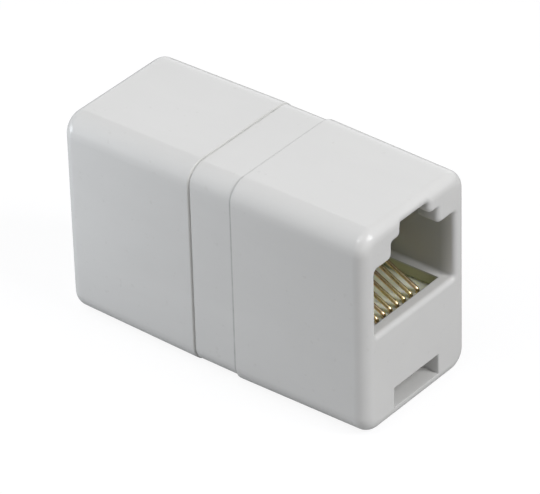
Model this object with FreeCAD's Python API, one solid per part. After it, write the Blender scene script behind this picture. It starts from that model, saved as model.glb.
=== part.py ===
import FreeCAD, Part
import math
import os

# Inline coupler for eight-way modular plugs: two moulded shells, a contact insert behind each
# port, eight gold-plated spring wires in each insert and eight leads that join the wires.
# X runs along the body and the front port faces +X; Y is the width; +Z is up.
# The origin is the middle of the underside. All lengths are in millimetres.

V = FreeCAD.Vector

# --- Outer body ---
body_length = 35.4
body_height = 22.15         # at the tallest place, beside the band
port_side_wall = 1.975      # outside of the port at the widest place, so it sets the width
key_roof = 1.375            # between the keyway and the top at the tallest place
draft = 0.01                # each face leans in this much for each millimetre of length
edge_radius = 2.15          # the four long edges
end_radius = 1.26           # around the end faces
rear_inset = 0.075          # the rear shell is smaller than the front one by this, each side
parting_x = -2.35           # where the two shells meet
parting_gap = 0.06
band_width = 4.95           # plain band beside the parting line
band_recess = 0.2           # depth of the band below the front shell's face
rim_round = 0.12            # broken edges beside the parting line and the band

# --- Walls inside the shells ---
top_wall = 1.45             # roof and floor thickness at the widest place
side_wall = 1.55            # side wall thickness at the widest place
chamber_corner = 0.8
chamber_overlap = 0.1       # the open middle chamber reaches this far past the insert's back

# --- Port, the same in both ends ---
port_width = 11.8
port_height = 7.1           # from the sill up to the latch stops
port_corner = 0.35
mouth_round = 0.5           # rounding of the entry, all the way round it
lip_depth = 1.3             # front wall thickness below the sill
stop_depth = 2.3            # latch stops, measured from the end face
key_width = 6.7             # latch gap between the stops
key_height = 1.75           # from the underside of the stops to the shoulders
key_top_width = 4.15        # narrow top of the keyway
key_top_height = 1.15       # from the shoulders to the keyway's top
stop_corner = 0.7
stop_corner_sink = 0.05     # the corner's arc starts this far below the stops
shoulder_corner = 0.6
key_round = 0.2

# --- Sill window and insert bay ---
ledge_width = 0.85          # each side of the window over the contact wires
ledge_thickness = 1.2
slot_width = 6.62           # low slot in each end face
slot_height = 2.15
slot_round = 0.15
rib_width = 1.6             # ribs beside the slot's channel, which carry the insert
bay_step = 0.1              # the insert bay is narrower than the chamber by this, each side
bay_clearance = 0.15        # between insert and bay, each side

# --- Contact insert ---
rail_margin = 0.36          # between the outer grooves and the side rails
plate_thickness = 2.35      # plate that carries the wires
core_inset = 0.5            # depth of the wire grooves
nose_setback = 0.95         # from the front wall to the tips of the nose ribs
rail_play = 0.05            # between the side rails and the front wall
plug_depth = 11.0           # from the end face to the comb that stops the plug
comb_depth = 1.8
comb_web = 0.6              # back wall of the comb
comb_height = 6.0           # above the plate
comb_wall_gap = 0.2         # between the comb's back wall and the shell around it
comb_slot_floor = 0.9       # the slots end this far above the plate
comb_slot_width = 0.62
comb_clearance = 0.15       # between comb and window, each side
cross_wall = 1.2            # wall under the back of the plate
latch_side_gap = 0.5        # between the arm and the sides of its channel
latch_arm_thickness = 1.0
latch_arm_drop = 1.15       # from the rib tops to the underside of the arm
latch_hook_length = 1.15
latch_hook_drop = 0.7
catch_distance = 6.3        # from the end face to the catch on the shell's floor
catch_length = 1.2
latch_clearance = 0.08

# --- Spring wires ---
contact_count = 8
contact_pitch = 1.016
wire_radius = 0.2
groove_clearance = 0.03
wire_bend = 0.5             # middle-line radius over the nose
wire_tuck_bend = 0.28       # middle-line radius under the nose
wire_rise = math.radians(26.0)
wire_end_gap = 0.3          # from the tip of a wire to the comb's back wall
tail_length = 1.2           # bare tail behind the insert

# --- Leads between the inserts ---
lead_radius = 0.45
lead_bend = 0.7
lead_socket = 1.0           # length of tail that each end of a lead takes in
lead_column_gap = 1.1       # from a tail's tip to the upright part of its lead
lead_first_level = 1.5      # first crossing above the straight one
lead_level_gap = 1.1        # from one crossing to the next
lead_colours = ("blue", "orange", "black", "red", "green", "yellow", "brown", "white")

# --- Lap joint and snap arms between the shells ---
lap_length = 1.6
lap_thickness = 0.7
lap_clearance = 0.1
snap_side_gap = 0.8         # each side of the floor arm in the channel
snap_thickness = 1.0
snap_gap = 0.15             # between an arm and the wall beside it
snap_root_x = 1.2
snap_root_length = 1.2
snap_tip_gap = 0.15         # between the tip of an arm and the insert's back
snap_barb_length = 1.1
snap_barb_height = 0.45
snap_clearance = 0.1

# --- Modelling allowances ---
over = 1.0                  # cutting tools run this far past what they cut
bite = 0.2                  # joined pieces reach this far into each other
near = 0.01                 # how closely an edge must lie in a plane to be picked

# --- Values that follow from those above ---
body_width = port_width + 2 * port_side_wall
mid_z = body_height / 2
end_x = body_length / 2
step_x = parting_x + band_width
floor_z = top_wall
roof_z = body_height - top_wall
chamber_half = body_width / 2 - side_wall
key_top_z = body_height - key_roof
shoulder_z = key_top_z - key_top_height
stop_z = shoulder_z - key_height
sill_z = stop_z - port_height
window_width = port_width - 2 * ledge_width
lip_back_x = end_x - lip_depth
stop_back_x = end_x - stop_depth
rib_top_z = floor_z + slot_height
rib_outer_y = slot_width / 2 + rib_width
bay_half = chamber_half - bay_step
insert_half = bay_half - bay_clearance
plate_top = sill_z - ledge_thickness - bay_clearance
plate_bottom = plate_top - plate_thickness
insert_back_x = end_x - plug_depth - comb_depth
rib_tip_x = lip_back_x - nose_setback
core_tip_x = rib_tip_x - core_inset
groove_width = 2 * (wire_radius + groove_clearance)
wire_low_z = plate_bottom + core_inset - groove_clearance - wire_radius
wire_front_x = core_tip_x + groove_clearance + wire_radius
tail_tip_x = insert_back_x - tail_length
snap_tip_x = snap_tip_gap - insert_back_x
snap_width = slot_width - 2 * snap_side_gap
chamber_end_x = insert_back_x + chamber_overlap
lead_column_x = tail_tip_x - lead_column_gap
contact_ys = [contact_pitch * (i - (contact_count - 1) / 2) for i in range(contact_count)]
rail_inner = contact_ys[-1] + groove_width / 2 + rail_margin


# --- Geometry helpers ---
def box(x0, x1, y0, y1, z0, z1):
    """A block between two corners."""
    return Part.makeBox(x1 - x0, y1 - y0, z1 - z0, V(x0, y0, z0))


def centred_box(x0, x1, half_y, z0, z1):
    """A block that is symmetrical about the middle plane of the width."""
    return box(x0, x1, -half_y, half_y, z0, z1)


def rounded_edges(points, radii, closed):
    """Straight edges through the points, with each corner turned by an arc of its own radius."""
    count = len(points)
    starts, ends, arcs = [], [], []
    for i, point in enumerate(points):
        open_end = not closed and i in (0, count - 1)
        if radii[i] == 0 or open_end:
            starts.append(point)
            ends.append(point)
            arcs.append(None)
            continue
        into = (point - points[i - 1]).normalize()
        away = (points[(i + 1) % count] - point).normalize()
        half_turn = into.getAngle(away) / 2
        tangent = radii[i] * math.tan(half_turn)
        inward = (away - into).normalize()
        middle = point + inward * (radii[i] / math.cos(half_turn) - radii[i])
        starts.append(point - into * tangent)
        ends.append(point + away * tangent)
        arcs.append(Part.Arc(starts[-1], middle, ends[-1]).toShape())
    edges = []
    for i in range(count):
        if arcs[i] is not None:
            edges.append(arcs[i])
        if closed or i < count - 1:
            edges.append(Part.LineSegment(ends[i], starts[(i + 1) % count]).toShape())
    return edges


def prism_x(outline, x0, x1):
    """An outline of (y, z, corner radius) carried along X from x0 to x1."""
    points = [V(x0, y, z) for y, z, radius in outline]
    radii = [radius for y, z, radius in outline]
    face = Part.Face(Part.Wire(rounded_edges(points, radii, True)))
    return face.extrude(V(x1 - x0, 0, 0))


def prism_y(outline, y0, y1):
    """An outline of (x, z, corner radius) carried along Y from y0 to y1."""
    points = [V(x, y0, z) for x, z, radius in outline]
    radii = [radius for x, z, radius in outline]
    face = Part.Face(Part.Wire(rounded_edges(points, radii, True)))
    return face.extrude(V(0, y1 - y0, 0))


def rectangle(half_y, z0, z1, radius):
    """The outline of a rectangle with four equal corners, centred on the width."""
    return [(-half_y, z0, radius), (half_y, z0, radius), (half_y, z1, radius), (-half_y, z1, radius)]


def rod(points, bends, radius):
    """A round rod along straight runs, with a bend of its own radius at each point between them."""
    path = Part.Wire(rounded_edges(points, bends, False))
    start = (points[1] - points[0]).normalize()
    circle = Part.Wire(Part.makeCircle(radius, points[0], start))
    return path.makePipeShell([circle], True, False)


def to_rear(shape):
    """A copy of a front piece, turned half round the upright axis to serve the rear port."""
    turned = shape.copy()
    turned.rotate(V(0, 0, 0), V(0, 0, 1), 180)
    return turned


def edges_at(shape, x, half_y, z0, z1):
    """The edges that lie in the plane X = x, within half_y of the middle and between z0 and z1."""
    found = []
    for edge in shape.Edges:
        space = edge.BoundBox
        in_plane = abs(space.XMin - x) < near and abs(space.XMax - x) < near
        in_width = max(abs(space.YMin), abs(space.YMax)) < half_y + near
        in_height = space.ZMin > z0 - near and space.ZMax < z1 + near
        if in_plane and in_width and in_height:
            found.append(edge)
    return found


# --- Shells ---
def drafted_end(root_x, inset):
    """The tapering outer form from root_x to the end face, with its long edges and end rounded."""
    half_y = body_width / 2 - inset
    half_z = body_height / 2 - inset
    lean = draft * (end_x - root_x)
    signs = [(-1, -1), (1, -1), (1, 1), (-1, 1)]
    root = [V(root_x, y * half_y, mid_z + z * half_z) for y, z in signs]
    end = [V(end_x, y * (half_y - lean), mid_z + z * (half_z - lean)) for y, z in signs]
    outlines = [root[::-1], end]
    for i in range(4):
        j = (i + 1) % 4
        outlines.append([root[i], root[j], end[j], end[i]])
    faces = [Part.Face(Part.makePolygon(outline + outline[:1])) for outline in outlines]
    form = Part.makeSolid(Part.makeShell(faces))
    long_edges = [edge for edge in form.Edges if edge.BoundBox.XLength > near]
    form = form.makeFillet(edge_radius, long_edges)
    return form.makeFillet(end_radius, edges_at(form, end_x, half_y, 0, body_height))


def port_mouth(form):
    """Cut the port's rectangle and its rounded entry, then the latch gap and the keyway above."""
    port = prism_x(rectangle(port_width / 2, sill_z, stop_z, port_corner), stop_back_x, end_x + over)
    form = form.cut(port)
    form = form.makeFillet(mouth_round, edges_at(form, end_x, port_width / 2, sill_z, stop_z))
    half_key = key_width / 2
    half_top = key_top_width / 2
    side = [
        (half_key + 2 * stop_corner, stop_z - stop_corner, 0),
        (half_key + 2 * stop_corner, stop_z - stop_corner_sink, 0),
        (half_key, stop_z - stop_corner_sink, stop_corner),
        (half_key, shoulder_z, key_round),
        (half_top, shoulder_z, shoulder_corner),
        (half_top, key_top_z, key_round),
    ]
    outline = side + [(-y, z, radius) for y, z, radius in reversed(side)]
    form = form.cut(prism_x(outline, stop_back_x, end_x + over))
    rim = edges_at(form, end_x, half_key, stop_z + mouth_round / 2, key_top_z - key_round / 2)
    return form.makeFillet(mouth_round, rim)


def low_slot(form):
    """Cut the slot through the end wall, with its sides and top broken outside."""
    half = slot_width / 2
    form = form.cut(centred_box(lip_back_x, end_x + over, half, floor_z, rib_top_z))
    rim = [edge for edge in edges_at(form, end_x, half, floor_z, rib_top_z)
           if edge.BoundBox.ZMax > floor_z + slot_height / 2]
    return form.makeFillet(slot_round, rim)


def hollow(form, open_x):
    """Cut the plug space, the sill window, the insert bay, the channel and the open chamber."""
    back_x = chamber_end_x - over
    spaces = [
        prism_x(rectangle(port_width / 2, sill_z, roof_z, port_corner), back_x, stop_back_x),
        centred_box(back_x, lip_back_x, window_width / 2, rib_top_z, sill_z + over),
        centred_box(back_x, lip_back_x, bay_half, rib_top_z, sill_z - ledge_thickness),
        centred_box(back_x, lip_back_x, slot_width / 2, floor_z, rib_top_z + 0.1),
        box(back_x, lip_back_x, rib_outer_y, bay_half, floor_z, rib_top_z),
        box(back_x, lip_back_x, -bay_half, -rib_outer_y, floor_z, rib_top_z),
        prism_x(rectangle(chamber_half, floor_z, roof_z, chamber_corner), open_x, chamber_end_x),
    ]
    for space in spaces:
        form = form.cut(space)
    return form


def floor_catch():
    """The wedge on the floor that the insert's latch snaps behind."""
    front_x = end_x - catch_distance
    outline = [
        (front_x, floor_z - bite, 0),
        (front_x, rib_top_z - latch_arm_drop - latch_clearance, 0),
        (front_x - catch_length / 3, rib_top_z - latch_arm_drop - latch_clearance, 0),
        (front_x - catch_length, floor_z, 0),
        (front_x - catch_length, floor_z - bite, 0),
    ]
    return prism_y(outline, -slot_width / 2, slot_width / 2)


def band_and_lap():
    """The plain recessed band and, beyond it, the thin lap that enters the rear shell."""
    half_y = body_width / 2 - band_recess
    half_z = body_height / 2 - band_recess
    edge_x = parting_x + parting_gap / 2
    outline = rectangle(half_y, mid_z - half_z, mid_z + half_z, edge_radius - band_recess)
    band = prism_x(outline, edge_x, step_x)
    band = band.makeFillet(rim_round, edges_at(band, edge_x, body_width, 0, body_height))
    lap_y = chamber_half + lap_thickness
    low_z = floor_z - lap_thickness
    high_z = roof_z + lap_thickness
    corner = chamber_corner + lap_thickness
    lap = prism_x(rectangle(lap_y, low_z, high_z, corner), parting_x - lap_length, edge_x)
    return band.fuse(lap)


def snap_arm(at_roof):
    """An arm from the front shell's roof or floor, with a barb that clicks into the rear shell."""
    away = 1 if at_roof else -1
    wall_z = roof_z if at_roof else floor_z
    outer_z = wall_z - away * snap_gap
    inner_z = outer_z - away * snap_thickness
    outline = [
        (snap_root_x + snap_root_length, wall_z + away * snap_gap, 0),
        (snap_root_x, wall_z + away * snap_gap, 0),
        (snap_root_x, outer_z, 0),
        (snap_tip_x + snap_barb_length, outer_z, 0),
        (snap_tip_x + snap_barb_length, outer_z + away * snap_barb_height, 0),
        (snap_tip_x + snap_barb_length / 2, outer_z + away * snap_barb_height, 0),
        (snap_tip_x, outer_z, 0),
        (snap_tip_x, inner_z, 0),
        (snap_root_x + snap_root_length, inner_z, 0),
    ]
    return prism_y(outline, -snap_width / 2, snap_width / 2)


def snap_pocket(at_roof):
    """The pocket in the rear shell's roof or floor that takes a barb."""
    away = 1 if at_roof else -1
    wall_z = roof_z if at_roof else floor_z
    deep_z = wall_z + away * (snap_barb_height - snap_gap + snap_clearance)
    low_z, high_z = sorted((wall_z - away * snap_gap, deep_z))
    half_y = snap_width / 2 + snap_clearance
    return centred_box(snap_tip_x - snap_clearance, snap_tip_x + snap_barb_length + snap_clearance,
                       half_y, low_z, high_z)


def front_shell():
    """The front shell: its drafted end, the band, the lap and the two snap arms."""
    form = low_slot(port_mouth(drafted_end(step_x, 0)))
    form = form.makeFillet(rim_round, edges_at(form, step_x, body_width, 0, body_height))
    form = form.fuse(band_and_lap()).removeSplitter()
    form = hollow(form, parting_x - lap_length)
    form = form.fuse(floor_catch())
    for at_roof in (True, False):
        form = form.fuse(snap_arm(at_roof))
    return form.removeSplitter()


def rear_shell():
    """The rear shell: made facing the front and turned, with a seat for the lap and two pockets."""
    open_x = parting_gap / 2 - parting_x
    form = low_slot(port_mouth(drafted_end(open_x, rear_inset)))
    form = form.makeFillet(rim_round, edges_at(form, open_x, body_width, 0, body_height))
    form = hollow(form, open_x)
    form = form.fuse(floor_catch())
    reach = lap_thickness + lap_clearance
    seat = rectangle(chamber_half + reach, floor_z - reach, roof_z + reach, chamber_corner + reach)
    form = form.cut(prism_x(seat, open_x, lap_length - parting_x + lap_clearance))
    form = to_rear(form.removeSplitter())
    for at_roof in (True, False):
        form = form.cut(snap_pocket(at_roof))
    return form


# --- Contact insert ---
def insert():
    """The white insert that holds the eight wires, as it stands behind the front port."""
    rail_front_x = lip_back_x - rail_play
    core = [
        (insert_back_x, plate_bottom + core_inset, 0),
        (core_tip_x, plate_bottom + core_inset, wire_tuck_bend - wire_radius),
        (core_tip_x, plate_top, wire_tuck_bend - wire_radius),
        (insert_back_x, plate_top, 0),
    ]
    form = prism_y(core, -rail_inner, rail_inner)
    for low_y, high_y in groove_ribs():
        form = form.fuse(box(insert_back_x, rib_tip_x, low_y, high_y, plate_bottom, plate_top))
    for side in (-1, 1):
        low_y, high_y = sorted((side * rail_inner, side * insert_half))
        rail = box(insert_back_x, rail_front_x, low_y, high_y, rib_top_z, plate_top)
        form = form.fuse(rail)
    cross = centred_box(insert_back_x, insert_back_x + cross_wall, rail_inner, rib_top_z, plate_bottom)
    form = form.fuse(cross).fuse(comb()).fuse(insert_latch())
    return form.removeSplitter()


def groove_ribs():
    """The spans of Y between neighbouring wire grooves, out to the rails on both sides."""
    spans = []
    low_y = -rail_inner
    for y in contact_ys:
        spans.append((low_y, y - groove_width / 2))
        low_y = y + groove_width / 2
    spans.append((low_y, rail_inner))
    return spans


def comb():
    """The upright comb that stops the plug and parts the wire tips, and the wall that backs it."""
    half_y = window_width / 2 - comb_clearance
    front_x = insert_back_x + comb_depth
    form = centred_box(insert_back_x, front_x, half_y, plate_top, plate_top + comb_height)
    wall = rectangle(port_width / 2 - comb_wall_gap, sill_z + comb_wall_gap, roof_z - comb_wall_gap,
                     port_corner)
    form = form.fuse(prism_x(wall, insert_back_x, insert_back_x + comb_web))
    for y in contact_ys:
        slot = box(insert_back_x + comb_web, front_x, y - comb_slot_width / 2,
                   y + comb_slot_width / 2, plate_top + comb_slot_floor, plate_top + comb_height)
        form = form.cut(slot)
    return form


def insert_latch():
    """The springy arm under the insert, whose hook snaps in front of the catch on the floor."""
    catch_front = end_x - catch_distance + latch_clearance
    low_z = rib_top_z - latch_arm_drop
    outline = [
        (insert_back_x, low_z, 0),
        (catch_front, low_z, 0),
        (catch_front, low_z - latch_hook_drop, 0),
        (catch_front + latch_hook_length / 2, low_z - latch_hook_drop, 0),
        (catch_front + latch_hook_length, low_z, 0),
        (catch_front + latch_hook_length, low_z + latch_arm_thickness, 0),
        (insert_back_x + cross_wall, low_z + latch_arm_thickness, 0),
        (insert_back_x + cross_wall, rib_top_z, 0),
        (insert_back_x, rib_top_z, 0),
    ]
    half_y = slot_width / 2 - latch_side_gap
    return prism_y(outline, -half_y, half_y)


# --- Spring wires and leads ---
def contact_wire(y):
    """One spring wire: tail, run under the insert's plate, round the nose and up to the comb."""
    turn_z = plate_top + wire_bend * math.tan((math.pi / 2 - wire_rise) / 2)
    tip_x = insert_back_x + comb_web + wire_end_gap
    tip_z = turn_z + (wire_front_x - tip_x) * math.tan(wire_rise)
    points = [V(tail_tip_x, y, wire_low_z), V(wire_front_x, y, wire_low_z),
              V(wire_front_x, y, turn_z), V(tip_x, y, tip_z)]
    return rod(points, [0, wire_tuck_bend, wire_bend, 0], wire_radius)


def lead(y, level):
    """One insulated lead: from a front tail up to its own level, across, and down to a rear tail."""
    socket_x = tail_tip_x + lead_socket
    low = [V(socket_x, y, wire_low_z), V(lead_column_x, y, wire_low_z)]
    if level > wire_low_z:
        low.append(V(lead_column_x, y, level))
    far = [V(-point.x, -point.y, point.z) for point in reversed(low)]
    points = low + far
    form = rod(points, [lead_bend] * len(points), lead_radius)
    for side in (1, -1):
        start = V(side * socket_x, side * y, wire_low_z)
        form = form.cut(Part.makeCylinder(wire_radius, lead_socket, start, V(-side, 0, 0)))
    return form


def lead_levels():
    """The crossing height of each lead: the middle ones lowest, so that no two leads touch."""
    order = sorted(range(contact_count), key=lambda i: abs(contact_ys[i]))
    levels = {}
    for place, i in enumerate(order):
        raised = lead_first_level + lead_level_gap * (place - 1)
        levels[i] = wire_low_z if place == 0 else wire_low_z + raised
    return levels


# --- Every piece, one file each ---
os.makedirs("parts", exist_ok=True)
pieces = {"front_shell": front_shell(), "rear_shell": rear_shell()}
pieces["front_insert"] = insert()
pieces["rear_insert"] = to_rear(pieces["front_insert"])
for number, contact_y in enumerate(contact_ys, 1):
    pieces[f"front_contact_{number}"] = contact_wire(contact_y)
    pieces[f"rear_contact_{number}"] = to_rear(pieces[f"front_contact_{number}"])
levels = lead_levels()
for i, colour in enumerate(lead_colours):
    pieces[f"lead_{colour}"] = lead(contact_ys[i], levels[i])
for node, shape in pieces.items():
    shape.exportStep(f"parts/{node}.step")
    print(node, shape.isValid(), len(shape.Solids), round(shape.Volume, 3))
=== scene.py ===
import math

import bpy
import numpy as np
from mathutils import Matrix, Vector


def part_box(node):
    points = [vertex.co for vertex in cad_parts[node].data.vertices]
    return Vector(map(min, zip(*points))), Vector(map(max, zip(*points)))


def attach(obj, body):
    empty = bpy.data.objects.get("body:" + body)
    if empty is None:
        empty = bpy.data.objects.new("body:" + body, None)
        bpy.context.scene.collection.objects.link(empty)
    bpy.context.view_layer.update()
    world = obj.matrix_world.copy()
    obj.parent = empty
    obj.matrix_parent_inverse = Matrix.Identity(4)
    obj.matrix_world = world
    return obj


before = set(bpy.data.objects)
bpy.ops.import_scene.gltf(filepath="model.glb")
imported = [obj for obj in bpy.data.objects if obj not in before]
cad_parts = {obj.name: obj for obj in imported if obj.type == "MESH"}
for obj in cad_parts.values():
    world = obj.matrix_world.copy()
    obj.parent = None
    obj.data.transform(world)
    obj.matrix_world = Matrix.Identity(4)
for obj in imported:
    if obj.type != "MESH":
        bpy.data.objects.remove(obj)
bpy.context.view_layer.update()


# ---------------------------------------------------------------- camera
# A long lens above and to the right of the front port, turned a little
# about its own axis. Angles are in degrees, and lengths in metres, as
# everywhere below.

mm = 0.001
azimuth, elevation, roll = 39.65, 33.95, -1.68
camera_distance = 423.4 * mm
shift_right, shift_up = 0.543 * mm, -0.696 * mm
body_middle = Vector((0.0, 0.0, 11.075 * mm))

turn, tilt, twist = (math.radians(angle) for angle in (azimuth, elevation, roll))
back = Vector((math.sin(turn) * math.cos(tilt), -math.cos(turn) * math.cos(tilt), math.sin(tilt)))
level = Vector((math.cos(turn), math.sin(turn), 0.0))
rise = back.cross(level)
right = math.cos(twist) * level + math.sin(twist) * rise
up = math.cos(twist) * rise - math.sin(twist) * level
eye = body_middle + shift_right * right + shift_up * up + camera_distance * back

# The lens takes its sensor and focal length in millimetres.
lens = bpy.data.cameras.new("camera")
lens.sensor_width = 36.0
lens.lens = 304.27
lens.clip_start = 0.01
lens.clip_end = 20.0
camera = bpy.data.objects.new("camera", lens)
camera.matrix_world = Matrix.Translation(eye) @ Matrix((right, up, back)).transposed().to_4x4()
bpy.context.collection.objects.link(camera)
bpy.context.scene.camera = camera
bpy.context.scene.view_settings.view_transform = "Standard"


# ---------------------------------------------------------------- shells
# Two shells of pale ABS from a lightly blasted mould: a fine grain, faint
# flow streaks along the body and slow waves where it sank. Inside they are
# rougher, and their colour there is a darker, yellower painted shade.


def add(tree, kind, values=None, links=None, **settings):
    """Adds a node of that kind. values sets its sockets by name or number, links joins other
    nodes' outputs to them, and the settings are properties of the node."""
    node = tree.nodes.new(kind)
    for key, value in settings.items():
        setattr(node, key, value)
    for key, value in (values or {}).items():
        node.inputs[key].default_value = value
    for key, output in (links or {}).items():
        tree.links.new(output, node.inputs[key])
    return node


def calc(tree, operation, *arguments):
    """A Math node's output. Each argument is a number or another node's output."""
    node = add(tree, "ShaderNodeMath", operation=operation)
    for number, value in enumerate(arguments):
        if isinstance(value, (int, float)):
            node.inputs[number].default_value = value
        else:
            tree.links.new(value, node.inputs[number])
    return node.outputs[0]


def remap(tree, value, span, new_span):
    """A Map Range node's output: span is taken to new_span in a straight line, and clamped."""
    node = add(
        tree,
        "ShaderNodeMapRange",
        values={
            "From Min": span[0],
            "From Max": span[1],
            "To Min": new_span[0],
            "To Max": new_span[1],
        },
        links={"Value": value},
    )
    return node.outputs["Result"]


def noise(tree, place, scale, detail=2.0, roughness=0.5, distortion=0.0):
    """A Noise Texture's grey output, at scale cycles for each metre."""
    node = add(
        tree,
        "ShaderNodeTexNoise",
        values={
            "Scale": scale,
            "Detail": detail,
            "Roughness": roughness,
            "Distortion": distortion,
        },
        links={"Vector": place},
    )
    return node.outputs[0]


def stretch(tree, place, factors):
    """The place with each axis times its factor, which draws a pattern out where it is below 1."""
    return add(
        tree, "ShaderNodeVectorMath", operation="MULTIPLY", values={1: factors}, links={0: place}
    ).outputs[0]


def mix_colour(tree, factor, first, second):
    """A colour mix. factor, first and second are values or outputs."""
    node = add(tree, "ShaderNodeMix", data_type="RGBA")
    for key, value in (("Factor", factor), ("A", first), ("B", second)):
        socket = [s for s in node.inputs if s.name == key and s.enabled][0]
        if isinstance(value, (int, float, tuple)):
            socket.default_value = value
        else:
            tree.links.new(value, socket)
    return [s for s in node.outputs if s.enabled][0]


def new_group(name, inputs, outputs):
    """A shader node group with the named sockets: its tree, its input node and output node."""
    tree = bpy.data.node_groups.new(name, "ShaderNodeTree")
    for socket, kind, value in inputs:
        made = tree.interface.new_socket(name=socket, in_out="INPUT", socket_type=kind)
        made.default_value = value
    for socket, kind in outputs:
        tree.interface.new_socket(name=socket, in_out="OUTPUT", socket_type=kind)
    return tree, tree.nodes.new("NodeGroupInput"), tree.nodes.new("NodeGroupOutput")


def new_material(name):
    """An empty node material with a Principled shader: the material, its tree and the shader."""
    material = bpy.data.materials.new(name)
    material.use_nodes = True
    tree = material.node_tree
    return material, tree, tree.nodes["Principled BSDF"]


def use_group(tree, shader, group, **values):
    """Places a group in a material and joins its colour and roughness to the shader. Each
    value's name is the name of a socket of the group. Returns the group's height."""
    node = add(tree, "ShaderNodeGroup", node_tree=group, values=values)
    tree.links.new(node.outputs["Colour"], shader.inputs["Base Color"])
    tree.links.new(node.outputs["Roughness"], shader.inputs["Roughness"])
    return node.outputs["Height"]


def bump(tree, shader, height, strength, distance, edge_softness=0.0):
    """Joins a Bump node on that height to the shader's normal. With an edge_softness, a length
    as distance is, the solid's sharp edges are shaded as if rounded by that radius."""
    node = add(
        tree,
        "ShaderNodeBump",
        values={"Strength": strength, "Distance": distance},
        links={"Height": height},
    )
    if edge_softness:
        softened = add(tree, "ShaderNodeBevel", samples=6, values={"Radius": edge_softness})
        tree.links.new(softened.outputs["Normal"], node.inputs["Normal"])
    tree.links.new(node.outputs["Normal"], shader.inputs["Normal"])


def dress(name, material):
    """Puts the material on a solid of the frame."""
    for material_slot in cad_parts[name].material_slots:
        material_slot.material = material


# Where the painted shade inside starts: the inner faces of the hollow, and how
# wide the change is from the outside's colour and gloss to the inside's. At
# the hollow's end the depth counts for less, which draws the change out.
shade_from_end, shade_from_side, shade_from_floor, shade_from_roof = 17.25 * mm, 6.80 * mm, 1.15 * mm, 21.05 * mm
inside_shade_change, end_depth_share = 0.22 * mm, 0.17

# In the low slot the painted shade starts this much further in, so the slot
# keeps the outside's colour and gloss, up to just above the slot's roof.
slot_shade_start, slot_roof, slot_roof_change = 2.2 * mm, 3.4 * mm, 0.8 * mm

# The well under the sill, which carries a painted shade and a painted
# reflection of the gold contacts, and the heights between which it gets lighter on the way up.
well_floor, well_floor_change = 6.0 * mm, 2.0 * mm
sill_top, sill_change = 10.75 * mm, 0.25 * mm
well_shade_low, well_shade_high = 7.6 * mm, 10.2 * mm
well_shade_top, well_shade_bottom = (0.46, 0.47, 0.27, 1.0), (0.27, 0.28, 0.16, 1.0)

# Painted shade lies at the foot of the band's step, as the step's shadow on
# the band, and along the parting line between the shells. Each has its place,
# how far it is thickest and how far it goes to either side, and its strength.
step_foot_x, foot_shade_span, foot_shade = 2.52 * mm, (0.09 * mm, 0.22 * mm), 0.60
seam_x, seam_shade_span, seam_shade = -2.35 * mm, (0.05 * mm, 0.18 * mm), 0.30
shade_patch_low, shade_on_top = 0.55, 0.40
foot_shade_grey, seam_shade_cream = (0.30, 0.30, 0.29, 1.0), (0.62, 0.62, 0.58, 1.0)
speck_brown, speck_strength = (0.45, 0.43, 0.39, 1.0), 0.10

# The patterns, in cycles for each metre. The fourth is the patchiness of the
# painted shade at the step and the seam.
flow_scale, cloud_scale, speck_scale, shade_patch_scale = 210.0, 75.0, 1500.0, 520.0
grain_scale, sink_scale = 5200.0, 110.0
flow_stretch, flow_share, cloud_share = (0.35, 1.0, 1.0), 0.55, 0.45
core_roughness = 0.15  # on top of the outside's

skin, skin_in, skin_out = new_group(
    "moulded_skin",
    [
        ("Colour", "NodeSocketColor", (0.8, 0.8, 0.8, 1.0)),
        ("Shade", "NodeSocketColor", (0.7, 0.7, 0.7, 1.0)),
        ("Core", "NodeSocketColor", (0.6, 0.6, 0.6, 1.0)),
        ("Roughness", "NodeSocketFloat", 0.4),
        ("Recess", "NodeSocketFloat", 0.0),
    ],
    [
        ("Colour", "NodeSocketColor"),
        ("Roughness", "NodeSocketFloat"),
        ("Height", "NodeSocketFloat"),
    ],
)
coordinates = add(skin, "ShaderNodeTexCoord").outputs
place = coordinates["Object"]
axes = add(skin, "ShaderNodeSeparateXYZ", links={0: place}).outputs
upright = add(skin, "ShaderNodeSeparateXYZ", links={0: coordinates["Normal"]}).outputs["Z"]

# The flow streaks, drawn out along the body, clouds, and a few brown specks.
along = stretch(skin, place, flow_stretch)
flow = noise(skin, along, flow_scale, detail=4.0, roughness=0.55, distortion=0.6)
cloud = noise(skin, place, cloud_scale)
tone = calc(skin, "MULTIPLY_ADD", flow, flow_share, calc(skin, "MULTIPLY", cloud, cloud_share))
tone = remap(skin, tone, (0.35, 0.65), (0.0, 1.0))
specks = noise(skin, place, speck_scale, detail=1.0)
specks = remap(skin, specks, (0.70, 0.78), (0.0, speck_strength))
skin_colour = mix_colour(skin, tone, skin_in.outputs["Shade"], skin_in.outputs["Colour"])
skin_colour = mix_colour(skin, specks, skin_colour, speck_brown)

# The painted shade is patchy, and at the step's foot it is weaker on the top
# and bottom faces than on the sides, as the light falls.
shade_patches = remap(skin, noise(skin, place, shade_patch_scale), (0.30, 0.60), (shade_patch_low, 1.0))
weaker_on_top = remap(skin, calc(skin, "ABSOLUTE", upright), (0.2, 0.8), (1.0, shade_on_top))
from_foot = calc(skin, "ABSOLUTE", calc(skin, "SUBTRACT", axes["X"], step_foot_x))
at_foot = remap(skin, from_foot, foot_shade_span, (foot_shade, 0.0))
at_foot = calc(skin, "MULTIPLY", at_foot, calc(skin, "MULTIPLY", weaker_on_top, shade_patches))
from_seam = calc(skin, "ABSOLUTE", calc(skin, "SUBTRACT", axes["X"], seam_x))
at_seam = remap(skin, from_seam, seam_shade_span, (seam_shade, 0.0))
at_seam = calc(skin, "MULTIPLY", at_seam, shade_patches)
# The painted shadow at the step's foot and the painted shade along the parting line.
skin_colour = mix_colour(skin, at_foot, skin_colour, foot_shade_grey)
skin_colour = mix_colour(skin, at_seam, skin_colour, seam_shade_cream)
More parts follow.
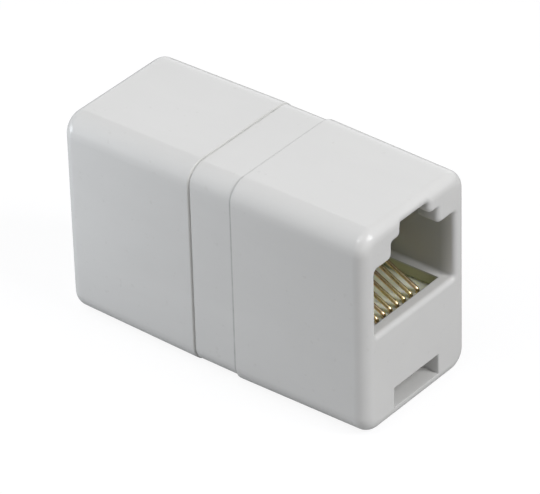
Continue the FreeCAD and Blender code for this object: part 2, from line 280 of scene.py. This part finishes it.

# How far a point is inside the hollow's faces: its end, its sides, its floor
# and its roof. The least of the four decides. There the colour is a painted
# shade, but a face that looks up keeps most of the outside's colour, as painted light.
in_slot = (slot_roof, slot_roof + slot_roof_change)
shade_start_depth = remap(skin, axes["Z"], in_slot, (slot_shade_start, 0.0))
from_middle = calc(skin, "ADD", calc(skin, "ABSOLUTE", axes["X"]), shade_start_depth)
depth_end = calc(skin, "SUBTRACT", shade_from_end, from_middle)
depth_end = calc(skin, "MULTIPLY", depth_end, end_depth_share)
depth_side = calc(skin, "SUBTRACT", shade_from_side, calc(skin, "ABSOLUTE", axes["Y"]))
depth_floor = calc(skin, "SUBTRACT", axes["Z"], shade_from_floor)
depth_roof = calc(skin, "SUBTRACT", shade_from_roof, axes["Z"])
depth = calc(
    skin,
    "MINIMUM",
    calc(skin, "MINIMUM", depth_end, depth_side),
    calc(skin, "MINIMUM", depth_floor, depth_roof),
)
inside = remap(skin, depth, (0.0, inside_shade_change), (0.0, 1.0))
painted_top_light = remap(skin, upright, (0.3, 0.9), (0.0, 0.95))
inside_shade_colour = mix_colour(skin, painted_top_light, skin_in.outputs["Core"], skin_in.outputs["Colour"])

# The well under the sill, where the contacts bend down, gets the darkest, yellowest painted shade
# and a painted reflection of the gold.
in_well = calc(
    skin,
    "MULTIPLY",
    remap(skin, axes["Z"], (sill_top - sill_change, sill_top), (1.0, 0.0)),
    remap(skin, axes["Z"], (well_floor - well_floor_change, well_floor), (0.0, 1.0)),
)
in_well = calc(skin, "MULTIPLY", in_well, skin_in.outputs["Recess"])
well_height = remap(skin, axes["Z"], (well_shade_low, well_shade_high), (0.0, 1.0))
well_painted_shade = mix_colour(skin, well_height, well_shade_bottom, well_shade_top)
inside_shade_colour = mix_colour(skin, in_well, inside_shade_colour, well_painted_shade)
skin.links.new(mix_colour(skin, inside, skin_colour, inside_shade_colour), skin_out.inputs["Colour"])

# The streaks and the grain shift the gloss a little. The height is in
# parts of the bump's distance: slow waves under a fine grain.
grain = noise(skin, place, grain_scale, roughness=0.6)
sink = noise(skin, place, sink_scale, detail=1.0, roughness=0.4)
streaky = remap(skin, flow, (0.3, 0.7), (-0.05, 0.05))
grainy = remap(skin, grain, (0.3, 0.7), (-0.02, 0.02))
dullness = calc(skin, "ADD", streaky, skin_in.outputs["Roughness"])
dullness = calc(skin, "MULTIPLY_ADD", inside, core_roughness, dullness)
skin.links.new(calc(skin, "ADD", dullness, grainy), skin_out.inputs["Roughness"])
waves = calc(skin, "MULTIPLY_ADD", sink, 6.0, calc(skin, "MULTIPLY", grain, 0.5))
skin.links.new(waves, skin_out.inputs["Height"])


def moulded(name, colour, shade, inside_shade, roughness, recess):
    """A moulded plastic in two near tones outside and a painted shade for its inside. recess is
    how much of the well's painted shade it shows."""
    material, tree, shader = new_material(name)
    height = use_group(
        tree,
        shader,
        skin,
        Colour=(*colour, 1.0),
        Shade=(*shade, 1.0),
        Core=(*inside_shade, 1.0),
        Roughness=roughness,
        Recess=recess,
    )
    bump(tree, shader, height, 1.0, 0.004 * mm, edge_softness=0.16 * mm)
    shader.inputs["IOR"].default_value = 1.5
    shader.inputs["Specular IOR Level"].default_value = 0.25
    shader.inputs["Coat Weight"].default_value = 0.6
    shader.inputs["Coat Roughness"].default_value = 0.08
    return material


shell_plastic = moulded(
    "shell_plastic",
    colour=(0.770, 0.767, 0.76),
    shade=(0.740, 0.737, 0.73),
    # The inside's colour is a painted shade.
    inside_shade=(0.47, 0.475, 0.455),
    roughness=0.52,
    recess=0.9,
)
for name in ("front_shell", "rear_shell"):
    dress(name, shell_plastic)


# ---------------------------------------------------------------- contact inserts
# The two carriers that hold the contacts, in a resin that lets a little light
# through, pressed into the shells. Their colour is lighter and greener than the
# shells': partly the resin's own tint, partly painted light and a painted
# reflection of the gold contacts.

insert_plastic = moulded(
    "insert_plastic",
    colour=(0.90, 0.94, 0.77),
    shade=(0.86, 0.90, 0.73),
    # The inside's painted shade, barely darker here.
    inside_shade=(0.88, 0.92, 0.74),
    roughness=0.45,
    recess=0.0,
)
shader = insert_plastic.node_tree.nodes["Principled BSDF"]
shader.inputs["Subsurface Weight"].default_value = 0.8
shader.inputs["Subsurface Radius"].default_value = (1.0, 1.0, 0.7)
shader.inputs["Subsurface Scale"].default_value = 0.6 * mm
for name in ("front_insert", "rear_insert"):
    dress(name, insert_plastic)


# ---------------------------------------------------------------- seam bead
# The thin bead of plastic that welds the two shells together, squeezed up
# into the parting line. It lies just below the band's surface, all round.


def rounded_loop(half_y, half_z, radius, runs=24, turns=16):
    """Points (y, z) and outward directions round a rectangle with rounded corners. A corner's
    point is its centre plus radius times (cos a, sin a), for a quarter turn of a. A run is a
    straight line from a corner's last point to the next corner's first."""
    corner_signs = np.array([(1, 1), (-1, 1), (-1, -1), (1, -1)])
    centres = corner_signs * (np.array([half_y, half_z]) - radius)
    angles = math.pi / 2 * (np.arange(4)[:, None] + np.linspace(0.0, 1.0, turns))
    corner_ways = np.stack([np.cos(angles), np.sin(angles)], axis=-1)
    corners = centres[:, None, :] + radius * corner_ways
    share = np.linspace(0.0, 1.0, runs + 1)[1:-1, None]
    next_corners = np.roll(corners, -1, axis=0)
    straights = corners[:, -1:, :] * (1 - share) + next_corners[:, :1, :] * share
    straight_ways = np.repeat(corner_ways[:, -1:, :], runs - 1, axis=1)
    points = np.concatenate([corners, straights], axis=1).reshape(-1, 2)
    ways = np.concatenate([corner_ways, straight_ways], axis=1).reshape(-1, 2)
    return points, ways


def closed_surface(name, grid, material):
    """A mesh piece through a grid of points, rows by columns by 3, joined in quads and closed
    round both ways. It rides on the body."""
    rows, columns = grid.shape[:2]
    row, column = np.meshgrid(np.arange(rows), np.arange(columns), indexing="ij")
    next_row, next_column = (row + 1) % rows, (column + 1) % columns
    ring = [(row, column), (next_row, column), (next_row, next_column), (row, next_column)]
    quads = np.stack([r * columns + c for r, c in ring], axis=-1).reshape(-1, 4)
    mesh = bpy.data.meshes.new(name)
    mesh.from_pydata(grid.reshape(-1, 3).tolist(), [], quads.tolist())
    mesh.shade_smooth()
    mesh.materials.append(material)
    piece = bpy.data.objects.new(name, mesh)
    bpy.context.collection.objects.link(piece)
    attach(piece, "root")


# Across the bead the profile is a half circle on a square foot. Round the
# body its top rises and falls a little, as a weld's does.
shell_low, shell_high = (np.array(corner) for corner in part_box("front_shell"))
body_half_y, body_half_z = (shell_high - shell_low)[1:] / 2
body_mid_z = (shell_high + shell_low)[2] / 2
edge_radius = 2.15 * mm
bead_half_width, bead_foot, bead_inset = 0.026 * mm, 0.25 * mm, 0.214 * mm
bead_ripple, ripple_quick, ripple_slow = 0.007 * mm, 1.9, 0.37

loop, ways = rounded_loop(
    body_half_y - bead_inset, body_half_z - bead_inset, edge_radius - bead_inset
)
crown = np.linspace(0.0, math.pi, 9)
across = np.concatenate([-bead_half_width * np.cos(crown), [bead_half_width, -bead_half_width]])
sunk = np.concatenate([bead_half_width * (1 - np.sin(crown)), [bead_foot, bead_foot]])
step = np.arange(len(loop))
ripple = bead_ripple * (1 + np.sin(step * ripple_quick) * np.sin(step * ripple_slow + 1.0))
down = sunk[None, :] + ripple[:, None]
bead = np.empty((len(loop), len(across), 3))
bead[:, :, 0] = seam_x + across
bead[:, :, 1] = loop[:, None, 0] - ways[:, None, 0] * down
bead[:, :, 2] = body_mid_z + loop[:, None, 1] - ways[:, None, 1] * down
closed_surface("seam_bead", bead, shell_plastic)


# ---------------------------------------------------------------- contact wires
# Drawn phosphor bronze wire under a thin gold plating, with drawing marks
# along it and a duller, browner tone where the plating is thin.

plated, thin_plated = (0.90, 0.67, 0.46, 1.0), (0.68, 0.56, 0.30, 1.0)
plated_roughness, thin_roughness, mark_roughness = 0.20, 0.28, 0.03
plating_scale, mark_scale, mark_stretch = 260.0, 9000.0, (0.12, 1.0, 0.25)

gold, tree, shader = new_material("contact_gold")
place = add(tree, "ShaderNodeTexCoord").outputs["Object"]
thin = remap(tree, noise(tree, place, plating_scale), (0.38, 0.62), (0.0, 1.0))
marks = noise(tree, stretch(tree, place, mark_stretch), mark_scale)
tree.links.new(mix_colour(tree, thin, plated, thin_plated), shader.inputs["Base Color"])
worn = remap(tree, thin, (0.0, 1.0), (plated_roughness, thin_roughness))
marked = remap(tree, marks, (0.3, 0.7), (-mark_roughness, mark_roughness))
tree.links.new(calc(tree, "ADD", worn, marked), shader.inputs["Roughness"])
shader.inputs["Metallic"].default_value = 1.0
bump(tree, shader, marks, 0.4, 0.002 * mm)
for end in ("front", "rear"):
    for number in range(1, 9):
        dress(f"{end}_contact_{number}", gold)


# ---------------------------------------------------------------- leads
# The eight wires inside, in soft PVC: an orange-peel skin from the
# extruder, a slow change of tone along each, and a dull sheen.

lead_colours = {
    "blue": (0.03, 0.09, 0.42),
    "orange": (0.80, 0.24, 0.03),
    "black": (0.018, 0.018, 0.02),
    "red": (0.55, 0.025, 0.02),
    "green": (0.03, 0.28, 0.07),
    "yellow": (0.80, 0.58, 0.04),
    "brown": (0.18, 0.075, 0.03),
    "white": (0.76, 0.76, 0.73),
}
lead_tone_scale, peel_scale = 380.0, 6000.0
lead_shade = {"Saturation": 0.85, "Value": 0.7}

jacket, jacket_in, jacket_out = new_group(
    "lead_jacket",
    [("Colour", "NodeSocketColor", (0.5, 0.5, 0.5, 1.0))],
    [
        ("Colour", "NodeSocketColor"),
        ("Roughness", "NodeSocketFloat"),
        ("Height", "NodeSocketFloat"),
    ],
)
full = jacket_in.outputs["Colour"]
dimmed = add(jacket, "ShaderNodeHueSaturation", values=lead_shade, links={"Color": full})
place = add(jacket, "ShaderNodeTexCoord").outputs["Object"]
tone = noise(jacket, place, lead_tone_scale, detail=3.0)
tone = remap(jacket, tone, (0.35, 0.65), (0.0, 0.35))
jacket.links.new(
    mix_colour(jacket, tone, full, dimmed.outputs[0]), jacket_out.inputs["Colour"]
)
peel = noise(jacket, place, peel_scale)
jacket.links.new(remap(jacket, peel, (0.3, 0.7), (0.40, 0.52)), jacket_out.inputs["Roughness"])
jacket.links.new(peel, jacket_out.inputs["Height"])

for name, colour in lead_colours.items():
    material, tree, shader = new_material(f"lead_{name}")
    height = use_group(tree, shader, jacket, Colour=(*colour, 1.0))
    bump(tree, shader, height, 0.5, 0.004 * mm)
    dress(f"lead_{name}", material)


# ---------------------------------------------------------------- studio
# A pale floor, a plain white surround and soft lamps: two in front of the
# port, two above the long side, and weak ones for the rear end and the back.

floor_half = 1.5
floor_mesh = bpy.data.meshes.new("floor")
floor_corners = [(-1, -1), (1, -1), (1, 1), (-1, 1)]
floor_mesh.from_pydata(
    [(x * floor_half, y * floor_half, 0.0) for x, y in floor_corners], [], [(0, 1, 2, 3)]
)
floor = bpy.data.objects.new("floor", floor_mesh)
bpy.context.collection.objects.link(floor)

# The floor lights the body as a mid grey. To the eye it is nearly white,
# from its own glow, and keeps a weak shadow.
pale_floor, tree, shader = new_material("pale_floor")
tree.nodes.remove(shader)
plain = add(tree, "ShaderNodeBsdfDiffuse", values={"Color": (0.49, 0.49, 0.49, 1.0)})
shadowed = add(tree, "ShaderNodeBsdfDiffuse", values={"Color": (0.15, 0.15, 0.155, 1.0)})
glow = add(
    tree, "ShaderNodeEmission", values={"Color": (1.0, 1.0, 1.0, 1.0), "Strength": 0.885}
)
seen = add(tree, "ShaderNodeAddShader", links={0: shadowed.outputs[0], 1: glow.outputs[0]})
path = add(tree, "ShaderNodeLightPath").outputs
either = add(
    tree,
    "ShaderNodeMixShader",
    links={0: path["Is Camera Ray"], 1: plain.outputs[0], 2: seen.outputs[0]},
)
tree.links.new(either.outputs[0], tree.nodes["Material Output"].inputs["Surface"])
floor_mesh.materials.append(pale_floor)

# The surround is white to the eye and in reflections, and a weak light.
surround_light, surround_seen = 0.15, 1.0
surround = bpy.data.worlds.new("surround")
surround.use_nodes = True
bpy.context.scene.world = surround
tree = surround.node_tree
background = tree.nodes["Background"]
background.inputs["Color"].default_value = (0.97, 0.985, 1.0, 1.0)
path = add(tree, "ShaderNodeLightPath").outputs
mirrored = calc(tree, "MAXIMUM", path["Is Glossy Ray"], path["Is Transmission Ray"])
clear = calc(tree, "MAXIMUM", path["Is Camera Ray"], mirrored)
strength = remap(tree, clear, (0.0, 1.0), (surround_light, surround_seen))
tree.links.new(strength, background.inputs["Strength"])


def lamp(name, direction, distance, size, level, colour=(1.0, 1.0, 1.0)):
    """A round lamp that faces the body from that direction. level is the light it gives to a
    white face turned to it, and at 1 a colour shows as written: the lamp's power is level
    times pi squared times the distance squared."""
    light = bpy.data.lights.new(name, "AREA")
    light.shape = "DISK"
    light.size = size
    light.energy = level * math.pi**2 * distance**2
    light.color = colour
    towards = Vector(direction).normalized()
    made = bpy.data.objects.new(name, light)
    made.location = body_middle + towards * distance
    made.rotation_euler = towards.to_track_quat("Z", "Y").to_euler()
    made.visible_camera = False
    bpy.context.collection.objects.link(made)


cool_white = (0.90, 0.95, 1.0)
lamp("port_lamp", (0.715, 0.125, 0.688), distance=0.50, size=0.27, level=0.48)
lamp("key_lamp", (0.800, 0.290, 0.530), distance=0.60, size=0.14, level=0.12)
lamp("high_lamp", (-0.02, -0.45, 0.893), distance=0.50, size=0.34, level=0.235)
lamp("edge_lamp", (-0.16, -0.62, 0.768), distance=0.60, size=0.12, level=0.09)
lamp("side_lamp", (-0.80, -0.58, 0.13), distance=0.095, size=0.04, level=0.32, colour=cool_white)
lamp("back_lamp", (-0.45, 0.84, 0.30), distance=0.60, size=0.60, level=0.20)
